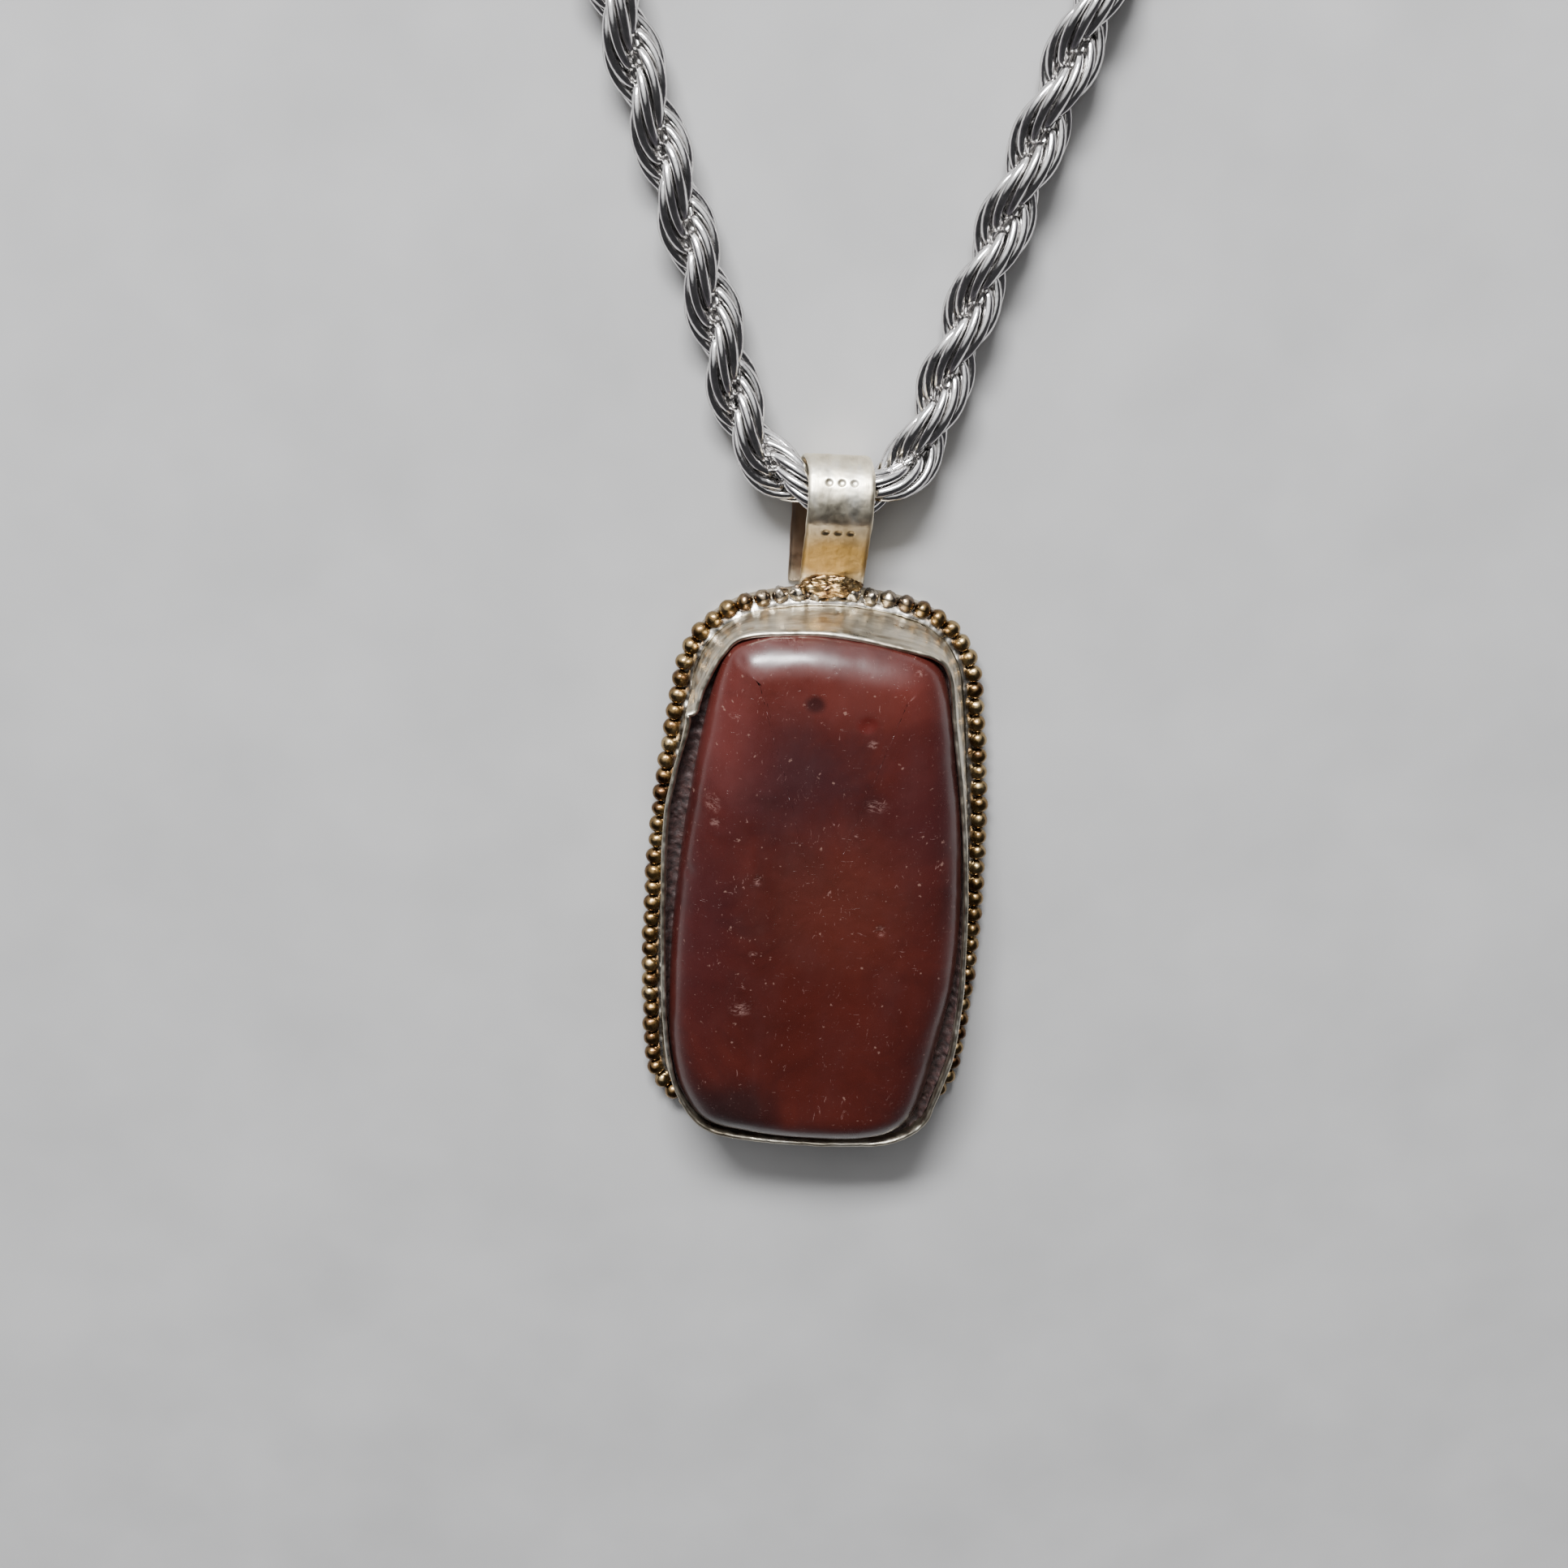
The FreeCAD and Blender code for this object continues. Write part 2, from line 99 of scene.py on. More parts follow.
ROUTE = [
    (-3.6, 89.3, 2.95),
    (5.8, 90.5, 2.95),
    (13.4, 96.4, 2.5),
    (17.3, 106.6, 2.5),
    (18.0, 116.5, 2.5),
    (16.8, 127.5, 2.5),
    (13.8, 138.6, 2.5),
    (5.4, 149.1, 8.2),
    (-5.9, 155.1, 8.2),
    (-17.9, 154.4, 4.1),
    (-26.5, 147.2, 2.5),
    (-30.0, 135.0, 2.5),
    (-30.6, 116.0, 2.5),
    (-28.8, 98.5, 2.5),
    (-23.8, 78.4, 2.5),
    (-17.2, 60.2, 2.5),
    (-11.2, 43.8, 2.5),
    (-8.9, 35.2, 2.5),
    (-4.1, 31.1, 3.9),
    (3.3, 31.1, 3.9),
    (6.9, 35.1, 2.5),
    (9.0, 44.4, 2.5),
    (14.1, 61.0, 2.5),
    (19.8, 79.0, 2.5),
    (26.0, 99.0, 2.5),
    (28.6, 115.0, 2.5),
    (27.9, 134.8, 2.5),
    (24.0, 147.4, 2.5),
    (15.6, 154.7, 2.5),
    (4.2, 155.7, 2.5),
    (-6.8, 149.3, 2.5),
    (-13.2, 138.6, 2.5),
    (-15.4, 126.2, 2.95),
    (-14.8, 116.1, 2.95),
]

# Rope chain: two strands of links laid round each other; each link wraps its strand the other way.
ROPE_PITCH = 14.4
STRAND_OFFSET = 1.05
STRAND_RADIUS = 1.0
LINK_WIRE = 0.45
LINK_SPACING = 1.28
LINK_PITCH = 8.0
LINK_WRAP = math.radians(146.0)
LINK_BENDS = 15  # places along a link's bent part
LINK_RETURN = (0.25, 0.5, 0.75)  # places along its straight part, as shares of the way back
WIRE_SIDES = 6

# The rim of the bezel at its top, clockwise from the bail's side, and the stone's outline.
RIM = [
    (0.0, 19.35), (5.2, 18.5), (9.0, 17.6), (10.6, 15.8), (11.5, 10.7), (12.9, 2.8), (13.9, -5.4),
    (14.4, -14.0), (14.4, -19.0), (14.0, -23.6), (12.9, -28.0), (11.7, -31.2), (8.4, -33.4),
    (2.1, -33.7), (-5.8, -33.2), (-9.8, -32.0), (-12.2, -29.0), (-13.3, -25.6), (-14.2, -19.0),
    (-14.75, -6.0), (-14.75, 1.0), (-14.05, 5.6), (-13.3, 9.0), (-13.05, 10.4), (-13.15, 11.2),
    (-12.4, 11.5), (-12.25, 12.2), (-11.8, 13.8), (-10.4, 16.8), (-8.5, 18.8), (-5.0, 19.3),
]
STONE = [
    (0.0, 19.1), (4.6, 18.45), (7.9, 17.5), (9.9, 15.6), (11.1, 11.1), (12.4, 3.2), (13.1, -2.5),
    (13.55, -9.2), (13.5, -15.3), (12.8, -20.5), (12.0, -25.4), (11.0, -29.4), (9.2, -31.7),
    (6.2, -32.8), (1.5, -33.0), (-5.0, -32.5), (-9.7, -31.3), (-12.0, -28.1), (-13.3, -23.1),
    (-13.6, -17.0), (-13.5, -9.5), (-13.0, -2.0), (-12.5, 2.6), (-11.7, 8.5), (-10.6, 14.6),
    (-9.4, 17.6), (-6.8, 18.9), (-3.4, 19.2),
]
# Scuffed places on the stone's face: centre and half sizes.
WORN_SPOTS = [
    ((-10.4, 3.4), (0.55, 0.7)), ((-10.1, 1.6), (0.4, 0.35)), ((-5.9, -3.8), (0.3, 0.5)),
    ((5.7, -8.6), (0.4, 0.45)), ((2.8, 1.1), (0.16, 0.14)), ((3.7, 10.0), (0.4, 0.35)),
    ((-8.8, 12.0), (0.4, 0.25)), ((-6.0, -11.4), (0.35, 0.25)), ((-6.9, -17.3), (0.8, 0.6)),
    ((7.6, 16.4), (0.5, 0.25)), ((4.4, 4.0), (0.9, 0.5)),
]
CHIPS = [  # place, radius, depth
    ((9.2, 16.2, 9.0), 0.9, 0.35), ((-8.6, 17.0, 9.2), 0.7, 0.30), ((-12.4, -4.0, 9.0), 1.1, 0.28),
    ((-10.4, 3.4, 10.0), 0.6, 0.22), ((-10.0, 1.6, 10.0), 0.45, 0.20), ((3.1, 11.8, 10.5), 0.8, 0.22),
    ((-5.9, -3.8, 10.4), 0.5, 0.16), ((5.7, -8.6, 10.4), 0.6, 0.16), ((12.2, -24.0, 8.6), 1.0, 0.30),
    ((-1.7, 13.6, 10.4), 0.7, 0.10),
]
STONE_MIDDLE = (-0.2, -6.7)
STONE_HALF = (13.3, 25.9)
STONE_FACE = 10.55
STONE_EDGE_TOP = 9.55  # where the rounded edge ends and the crowned face begins
STONE_BELT = 6.4  # height of the stone's widest line
STONE_SHOULDER = 3.9  # how far in the rounded edge reaches
CHIPPED_ABOVE = 3.0  # the bedded foot stays plain below this height
STONE_COUNT = 320  # places round the stone
SCUFF_COLOUR = (0.40, 0.24, 0.21)
RIM_HEIGHT = 7.75
CREST = 0.12  # how far the middle of the wall's top edge stands above its sides
CEMENT_TOP = 6.75
LEDGE_HEIGHT = 0.95
OUTLINE_COUNT = 720  # places round the bezel, the cement and the ledge


# ---------------------------------------------------------------- shape helpers
def smooth_loop(points, count):
    """A closed smooth curve through points, as count places spread evenly along it."""
    base = np.array(points, float)
    fine = []
    steps = 24
    for i in range(len(base)):
        p0, p1, p2, p3 = (base[(i + k - 1) % len(base)] for k in range(4))
        for step in range(steps):
            t = step / steps
            fine.append(0.5 * (2 * p1 + (p2 - p0) * t + (2 * p0 - 5 * p1 + 4 * p2 - p3) * t**2
                               + (3 * p1 - p0 - 3 * p2 + p3) * t**3))
    return even(np.array(fine), count, closed=True)


def even(points, count, closed=False):
    """The same line with count places spread evenly along it."""
    line = np.vstack([points, points[:1]]) if closed else points
    along = np.concatenate([[0], np.cumsum(np.linalg.norm(np.diff(line, axis=0), axis=1))])
    at = np.linspace(0, along[-1], count + 1)[:-1] if closed else np.linspace(0, along[-1], count)
    return np.stack([np.interp(at, along, line[:, k]) for k in range(line.shape[1])], 1)


def outward(loop):
    """Unit normals of a clockwise loop in the plane, pointing out of it."""
    along = np.roll(loop, -1, 0) - np.roll(loop, 1, 0)
    normal = np.stack([-along[:, 1], along[:, 0]], 1)
    return normal / np.linalg.norm(normal, axis=1)[:, None]


def corner_centre(first, reach_first, second, reach_second, above):
    """The place at given distances from two centres, the higher or the lower of the two."""
    gap = second - first
    apart = np.linalg.norm(gap)
    along = (reach_first**2 - reach_second**2 + apart**2) / (2 * apart)
    across = math.sqrt(reach_first**2 - along**2)
    way = gap / apart
    ends = [first + way * along + side * across * np.array([-way[1], way[0]]) for side in (1, -1)]
    return (max if above else min)(ends, key=lambda place: place[1])


def setting_outline(inset, count):
    """The setting's outline brought in by inset, clockwise from its top: four arcs, four corners."""
    top = np.array([0, SETTING_TOP - TOP_RADIUS])
    side = np.array([SETTING_HALF - SIDE_RADIUS, WIDEST_Y])
    foot = np.array([0, SETTING_FOOT + FOOT_RADIUS])
    upper = corner_centre(top, TOP_RADIUS - TOP_CORNER, side, SIDE_RADIUS - TOP_CORNER, True)
    lower = corner_centre(side, SIDE_RADIUS - FOOT_CORNER, foot, FOOT_RADIUS - FOOT_CORNER, False)
    turns = [math.pi / 2]
    turns += [math.atan2(*(far - near)[::-1]) for near, far in
              ((top, upper), (side, upper), (side, lower), (foot, lower))]
    turns.append(-math.pi / 2)
    centres = (top, upper, side, lower, foot)
    radii = (TOP_RADIUS, TOP_CORNER, SIDE_RADIUS, FOOT_CORNER, FOOT_RADIUS)
    half = []
    for centre, radius, start, end in zip(centres, radii, turns, turns[1:]):
        for turn in np.linspace(start, end, 120)[:-1]:
            half.append(centre + (radius - inset) * np.array([math.cos(turn), math.sin(turn)]))
    right = np.array(half)
    left = right[:0:-1] * [-1, 1]
    return even(np.vstack([right, [[0, SETTING_FOOT + inset]], left]), count, closed=True)


def mesh_piece(name, vertices, faces, body, material):
    """A smooth-shaded mesh object that rides on body."""
    data = bpy.data.meshes.new(name)
    data.from_pydata([tuple(v) for v in vertices], [], faces)
    data.validate()
    data.shade_smooth()
    piece = bpy.data.objects.new(name, data)
    bpy.context.scene.collection.objects.link(piece)
    data.materials.append(material)
    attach(piece, body)
    return piece


def bridge(rings, count, wrap=False):
    """Quads between successive closed rings of count vertices each; wrap joins the last to the first."""
    faces = []
    last = rings if wrap else rings - 1
    for j in range(last):
        a, b = j * count, ((j + 1) % rings) * count
        for i in range(count):
            k = (i + 1) % count
            faces.append((a + i, a + k, b + k, b + i))
    return faces


def rough_at(point, scale, seed, octaves=3):
    """Smooth repeatable noise between about -1 and 1."""
    place = Vector((point[0] * scale + seed, point[1] * scale - seed, point[2] * scale + 2 * seed))
    return noise.fractal(place, 1.0, 2.0, octaves)


# ---------------------------------------------------------------- material helpers
class Nodes:
    """Short ways to add the nodes of one material."""

    def __init__(self, name):
        self.material = bpy.data.materials.new(name)
        self.material.use_nodes = True
        self.tree = self.material.node_tree
        self.shader = self.tree.nodes["Principled BSDF"]
        self.place = self.tree.nodes.new("ShaderNodeTexCoord").outputs["Object"]

    def link(self, source, target):
        self.tree.links.new(source, target)

    def set(self, **values):
        for key, value in values.items():
            self.shader.inputs[key.replace("_", " ")].default_value = value

    def scaled(self, scale):
        node = self.tree.nodes.new("ShaderNodeMapping")
        self.link(self.place, node.inputs["Vector"])
        node.inputs["Scale"].default_value = scale if hasattr(scale, "__len__") else (scale,) * 3
        return node.outputs["Vector"]

    def noise(self, scale, detail=4.0, roughness=0.55, distortion=0.0):
        node = self.tree.nodes.new("ShaderNodeTexNoise")
        self.link(self.scaled(scale), node.inputs["Vector"])
        node.inputs["Scale"].default_value = 1.0
        node.inputs["Detail"].default_value = detail
        node.inputs["Roughness"].default_value = roughness
        node.inputs["Distortion"].default_value = distortion
        return node.outputs["Fac"]

    def cells(self, scale):
        node = self.tree.nodes.new("ShaderNodeTexVoronoi")
        self.link(self.scaled(scale), node.inputs["Vector"])
        node.inputs["Scale"].default_value = 1.0
        return node.outputs["Distance"]

    def ramp(self, source, *stops):
        node = self.tree.nodes.new("ShaderNodeValToRGB")
        self.link(source, node.inputs["Fac"])
        while len(node.color_ramp.elements) < len(stops):
            node.color_ramp.elements.new(0.5)
        for element, (position, colour) in zip(node.color_ramp.elements, stops):
            element.position = position
            element.color = (*colour, 1) if hasattr(colour, "__len__") else (colour, colour, colour, 1)
        return node.outputs["Color"]

    def mix(self, factor, a, b):
        node = self.tree.nodes.new("ShaderNodeMix")
        node.data_type = "RGBA"
        for source, socket in ((factor, node.inputs[0]), (a, node.inputs[6]), (b, node.inputs[7])):
            if isinstance(source, bpy.types.NodeSocket):
                self.link(source, socket)
            elif hasattr(source, "__len__"):
                socket.default_value = (*source, 1)
            else:
                socket.default_value = source
        return node.outputs[2]

    def math(self, kind, a, b=0.0):
        node = self.tree.nodes.new("ShaderNodeMath")
        node.operation = kind
        for source, socket in ((a, node.inputs[0]), (b, node.inputs[1])):
            if isinstance(source, bpy.types.NodeSocket):
                self.link(source, socket)
            else:
                socket.default_value = source
        return node.outputs[0]

    def near(self, centre, size, soft=1.0, ragged=0.0, scale=420):
        """1 inside an ellipsoid of half sizes size (mm) about centre (mm), falling to 0 outside."""
        move = self.tree.nodes.new("ShaderNodeVectorMath")
        move.operation = "SUBTRACT"
        self.link(self.place, move.inputs[0])
        move.inputs[1].default_value = Vector(centre) * MM
        divide = self.tree.nodes.new("ShaderNodeVectorMath")
        divide.operation = "DIVIDE"
        self.link(move.outputs[0], divide.inputs[0])
        divide.inputs[1].default_value = Vector(size) * MM
        length = self.tree.nodes.new("ShaderNodeVectorMath")
        length.operation = "LENGTH"
        self.link(divide.outputs[0], length.inputs[0])
        node = self.tree.nodes.new("ShaderNodeMapRange")
        node.interpolation_type = "SMOOTHSTEP"
        reach = length.outputs["Value"]
        if ragged:
            reach = self.math("ADD", reach, self.math("MULTIPLY", self.noise(scale, 6, 0.65), ragged))
            reach = self.math("SUBTRACT", reach, ragged / 2)
        self.link(reach, node.inputs["Value"])
        node.inputs["From Min"].default_value = 1.0 + soft
        node.inputs["From Max"].default_value = max(1.0 - soft, 0.0)
        return node.outputs["Result"]

    def height(self, axis):
        node = self.tree.nodes.new("ShaderNodeSeparateXYZ")
        self.link(self.place, node.inputs[0])
        return node.outputs[axis]

    def bump(self, source, distance_mm, strength=1.0, after=None):
        node = self.tree.nodes.new("ShaderNodeBump")
        node.inputs["Strength"].default_value = strength
        node.inputs["Distance"].default_value = distance_mm * MM
        self.link(source, node.inputs["Height"])
        if after is not None:
            self.link(after, node.inputs["Normal"])
        self.link(node.outputs["Normal"], self.shader.inputs["Normal"])
        return node.outputs["Normal"]

    def colour(self, source):
        self.link(source, self.shader.inputs["Base Color"])

    def rough(self, source):
        self.link(source, self.shader.inputs["Roughness"])


def steel_material():
    n = Nodes("polished_steel")
    n.set(Metallic=1.0)
    n.colour(n.ramp(n.noise(900, 3), (0.35, (0.66, 0.645, 0.635)), (0.6, (0.86, 0.84, 0.825))))
    n.rough(n.ramp(n.noise(2600, 4), (0.3, 0.07), (0.7, 0.2)))
    n.bump(n.noise((5000, 5000, 900), 3), 0.01, 0.35)
    return n.material


# ---------------------------------------------------------------- rope chain
def route_spline():
    """The chain's centreline: one smooth spline with the route as its control points."""
    data = bpy.data.curves.new("chain_line", "CURVE")
    data.dimensions = "3D"
    spline = data.splines.new("NURBS")
    spline.points.add(len(ROUTE) - 1)
    for place, knot in zip(ROUTE, spline.points):
        knot.co = (*(Vector(place) * MM), 1)
    spline.order_u = 3
    spline.use_endpoint_u = True
    spline.resolution_u = 24
    line = bpy.data.objects.new("chain_line", data)
    bpy.context.scene.collection.objects.link(line)
    bpy.context.view_layer.update()
    mesh = bpy.data.meshes.new_from_object(line)
    places = np.array([v.co for v in mesh.vertices], float)
    bpy.data.meshes.remove(mesh)
    bpy.data.objects.remove(line)
    return places


def frames_along(line):
    """Tangents and two normals that don't spin, at each place of a line."""
    tangents = np.gradient(line, axis=0)
    tangents /= np.linalg.norm(tangents, axis=1)[:, None]
    normal = np.cross(tangents[0], [0, 0, 1.0])
    normals = []
    for tangent in tangents:
        normal = normal - tangent * normal.dot(tangent)
        normal /= np.linalg.norm(normal)
        normals.append(normal)
    normals = np.array(normals)
    return tangents, normals, np.cross(tangents, normals)


def strand_places(path):
    """The path's length in mm, and a function from strand and distance to the place on the
    centreline, the way out to the strand and the way across it."""
    length = float(np.linalg.norm(np.diff(path, axis=0), axis=1).sum()) / MM
    line = even(path, int(length * 5))
    tangents, sides, ups = frames_along(line)
    step = length / (len(line) - 1)

    def at(strand, distance):
        place = min(max(distance / step, 0), len(line) - 1.001)
        i, share = int(place), place - int(place)
        centre = line[i] * (1 - share) + line[i + 1] * share
        turn = 2 * math.pi * distance / ROPE_PITCH + strand * math.pi
        outward_way = math.cos(turn) * sides[i] + math.sin(turn) * ups[i]
        round_way = -math.sin(turn) * sides[i] + math.cos(turn) * ups[i]
        lay = math.atan(2 * math.pi * STRAND_OFFSET / ROPE_PITCH)
        across = math.cos(lay) * round_way - math.sin(lay) * tangents[i]
        return centre, outward_way, across

    return length, at


def link_loop(at, strand, middle, rng):
    """Centres of one link's wire: over the outside of its strand, back through the rope's heart."""
    places = []
    reach = STRAND_RADIUS * (1 + rng.normal(0, 0.012))
    shift = rng.normal(0, 0.04)
    for turn in np.linspace(-LINK_WRAP, LINK_WRAP, LINK_BENDS):
        distance = middle + shift - turn / (2 * math.pi) * LINK_PITCH
        centre, outward_way, across = at(strand, distance)
        offset = outward_way * (STRAND_OFFSET + reach * math.cos(turn)) + across * reach * math.sin(turn)
        places.append(centre + offset * MM)
    first, last = places[0], places[-1]
    for share in LINK_RETURN:
        places.append(last + (first - last) * share)
    return np.array(places)


def wire_along(loop, radius, sides):
    """A closed round wire of given radius along a loop of places."""
    along = np.roll(loop, -1, 0) - np.roll(loop, 1, 0)
    along /= np.linalg.norm(along, axis=1)[:, None]
    middle = loop.mean(0)
    out = loop - middle
    out -= along * (out * along).sum(1)[:, None]
    out /= np.linalg.norm(out, axis=1)[:, None]
    over = np.cross(along, out)
    turns = np.linspace(0, 2 * math.pi, sides, endpoint=False)
    rings = [loop + radius * (math.cos(t) * out + math.sin(t) * over) for t in turns]
    return np.stack(rings, 1).reshape(-1, 3)


def rope_chain(material):
    """Two strands of links that turn round the centreline."""
    path = route_spline()
    length, at = strand_places(path)
    rng = np.random.default_rng(7)
    places = LINK_BENDS + len(LINK_RETURN)
    quads = bridge(places, WIRE_SIDES, wrap=True)
    vertices, faces = [], []
    margin = LINK_PITCH * LINK_WRAP / (2 * math.pi)
    for strand in (0, 1):
        for middle in np.arange(margin, length - margin, LINK_SPACING):
            start = len(vertices) * WIRE_SIDES * places
            vertices.append(wire_along(link_loop(at, strand, middle, rng), LINK_WIRE * MM, WIRE_SIDES))
            faces.extend(tuple(start + k for k in quad) for quad in quads)
    chain = mesh_piece("rope_chain_links", np.vstack(vertices), faces, "chain", material)
    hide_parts("rope_chain")
    return chain


def dress(name, material):
    """Give a CAD node that keeps its own shape its one material."""
    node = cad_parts[name]
    node.data.materials.clear()
    node.data.materials.append(material)


def show_findings(material):
    for name in ("end_cap_left", "end_cap_right", "catch_ring", "clasp_ring", "clasp_body",
                 "clasp_pin", "clasp_spring", "clasp_trigger"):
        dress(name, material)


steel = steel_material()
rope_chain(steel)
show_findings(steel)


# ---------------------------------------------------------------- stone
def stone_material():
    n = Nodes("red_brown_stone")
    n.set(IOR=1.54, Coat_Weight=0.25, Coat_Roughness=0.16)
    cloud = n.noise(110, 6, 0.6, 0.8)
    base = n.ramp(cloud, (0.36, (0.033, 0.0064, 0.0053)), (0.52, (0.049, 0.0086, 0.0064)),
                  (0.70, (0.066, 0.0114, 0.0078)))
    # Centre, half sizes, softness, raggedness, share and colour of each darker or redder cloud.
    zones = (
        ((-3.6, 6.6, 10), (6.6, 5.2, 30), 0.95, 1.7, 0.90, (0.034, 0.0100, 0.0108)),
        ((8.8, 4.0, 10), (3.2, 9.0, 30), 0.8, 0.5, 0.55, (0.044, 0.0100, 0.0105)),
        ((-11.0, -9.0, 10), (3.0, 10.0, 30), 0.8, 0.5, 0.60, (0.036, 0.0085, 0.0095)),
        ((1.8, -6.5, 10), (6.0, 6.5, 30), 0.8, 0.6, 0.55, (0.078, 0.0172, 0.0104)),
        ((1.5, -19.0, 10), (9.0, 9.0, 30), 0.8, 0.5, 0.60, (0.046, 0.0068, 0.0042)),
        ((-9.8, 10.0, 10), (3.4, 5.4, 30), 1.0, 1.2, 0.50, (0.125, 0.0285, 0.0245)),
        ((3.0, 14.4, 10), (9.0, 2.2, 30), 0.95, 1.0, 0.45, (0.130, 0.0290, 0.0220)),
        ((-7.1, -28.6, 8), (3.7, 3.0, 30), 0.7, 0.5, 0.80, (0.014, 0.0060, 0.0060)),
        ((-1.7, 13.6, 10), (0.85, 0.75, 30), 0.5, 0.5, 0.85, (0.022, 0.0060, 0.0060)),
        ((3.1, 11.8, 10), (0.95, 0.75, 30), 0.4, 0.6, 0.80, (0.070, 0.0080, 0.0060)),
    )
    for centre, size, soft, ragged, share, tint in zones:
        base = n.mix(n.math("MULTIPLY", n.near(centre, size, soft, ragged), share), base, tint)
    specks = n.ramp(n.noise(1500, 2), (0.70, 0.0), (0.77, 1.0))
    base = n.mix(n.math("MULTIPLY", specks, 0.30), base, (0.42, 0.26, 0.21))
    scratches = n.ramp(n.noise((620, 2200, 900), 3, 0.6, 3.0), (0.68, 0.0), (0.75, 1.0))
    base = n.mix(n.math("MULTIPLY", scratches, 0.22), base, SCUFF_COLOUR)
    scuffs = n.ramp(n.noise((1900, 700, 900), 4, 0.62, 2.5), (0.66, 0.0), (0.72, 1.0))
    base = n.mix(n.math("MULTIPLY", scuffs, 0.30), base, SCUFF_COLOUR)
    broken = n.ramp(n.noise((1500, 3600, 2000), 4, 0.65, 1.0), (0.47, 0.0), (0.60, 0.30))
    for centre, size in WORN_SPOTS:
        worn = n.near((*centre, 10.3), (*size, 3.0), 0.6, 1.2, 1700)
        base = n.mix(n.math("MULTIPLY", worn, broken), base, SCUFF_COLOUR)
    n.colour(base)
    smears = n.noise((260, 110, 200), 6, 0.65, 0.4)
    n.rough(n.ramp(smears, (0.35, 0.24), (0.65, 0.40)))
    first = n.bump(n.noise(160, 5), 0.10, 0.3)
    second = n.bump(n.ramp(n.cells(520), (0.0, 0.0), (0.18, 1.0)), 0.03, 0.35, first)
    n.bump(scratches, 0.02, 0.6, second)
    return n.material


def stone_rings(count):
    """Places of a tabular barrel, ring by ring from its foot to the middle of its crowned face."""
    outline = smooth_loop(STONE, count)
    normal = outward(outline)
    rings = []
    for z, inset in ((2.4, 2.4), (3.4, 0.9), (4.8, 0.2), (STONE_BELT, 0.0)):
        rings.append(np.column_stack([outline - normal * inset, np.full(count, z)]))
    for step in range(1, 11):
        angle = step / 10 * math.pi / 2
        inset = STONE_SHOULDER * (1 - math.cos(angle))
        z = STONE_BELT + (STONE_EDGE_TOP - STONE_BELT) * math.sin(angle) ** 0.9
        rings.append(np.column_stack([outline - normal * inset, np.full(count, z)]))
    inner = rings[-1][:, :2]
    centre = np.array(STONE_MIDDLE)
    for share in np.linspace(1, 0.0, 44)[1:]:
        place = centre + (inner - centre) * max(share, 0.003)
        rings.append(np.column_stack([place, np.full(count, STONE_EDGE_TOP)]))
    points = np.vstack(rings)
    x, y = ((points[:, k] - STONE_MIDDLE[k]) / STONE_HALF[k] for k in (0, 1))
    crown = np.clip(1 - 0.75 * x**2 - 0.35 * y**4, 0, 1)
    upper = points[:, 2] > STONE_BELT
    lift = np.clip((points[:, 2] - STONE_BELT) / (STONE_EDGE_TOP - STONE_BELT), 0, 1) ** 2
    points[:, 2] += np.where(upper, crown * lift * (STONE_FACE - STONE_EDGE_TOP), 0)
    return points, len(rings)


def stone_piece():
    """The barrel with shallow waves and small chips."""
    count = STONE_COUNT
    points, ring_count = stone_rings(count)
    out = []
    for p in points:
        q = Vector(p)
        wobble = 0.10 * rough_at(p, 0.16, 3.1, 2) + 0.025 * rough_at(p, 0.9, 5.7, 3)
        for spot, size, deep in CHIPS:
            gap = (q - Vector(spot)).length / size
            wobble -= deep * max(0.0, 1 - gap * gap) ** 2
        out.append((p[0] * MM, p[1] * MM, (p[2] + (wobble if p[2] > CHIPPED_ABOVE else 0)) * MM))
    out.append((STONE_MIDDLE[0] * MM, STONE_MIDDLE[1] * MM, out[-1][2]))
    faces = bridge(ring_count, count)
    top = len(out) - 1
    last = (ring_count - 1) * count
    faces += [(last + i, last + (i + 1) % count, top) for i in range(count)]
    faces.append(tuple(range(count - 1, -1, -1)))
    piece = mesh_piece("stone_barrel", out, [tuple(reversed(f)) for f in faces], "pendant",
                       stone_material())
    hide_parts("stone")
    return piece


stone_piece()


# ---------------------------------------------------------------- bezel, cement, ledge
def bezel_material():
    n = Nodes("worn_silver_strip")
    n.set(Metallic=1.0)
    streak = n.noise((170, 170, 900), 6, 0.62, 0.5)
    stain = n.noise(260, 4, 0.6)
    base = n.ramp(streak, (0.30, (0.30, 0.25, 0.18)), (0.50, (0.64, 0.58, 0.46)), (0.72, (0.84, 0.80, 0.70)))
    n.colour(n.mix(n.ramp(stain, (0.55, 0.0), (0.72, 0.7)), base, (0.22, 0.18, 0.14)))
    n.rough(n.ramp(n.noise(900, 4), (0.3, 0.26), (0.7, 0.5)))
    first = n.bump(n.noise((240, 240, 1500), 4), 0.10, 0.6)
    n.bump(n.noise(2600, 3), 0.02, 0.5, first)
    return n.material


def cement_material():
    n = Nodes("dark_lac_cement")
    grain = n.noise(1500, 6, 0.7)
    n.colour(n.ramp(grain, (0.35, (0.012, 0.0065, 0.006)), (0.6, (0.045, 0.021, 0.019)),
                    (0.78, (0.13, 0.075, 0.062))))
    n.rough(n.ramp(grain, (0.3, 0.75), (0.7, 0.5)))
    first = n.bump(grain, 0.15, 0.8)
    n.bump(n.ramp(n.cells(1100), (0.0, 0.0), (0.35, 1.0)), 0.12, 0.6, first)
    return n.material


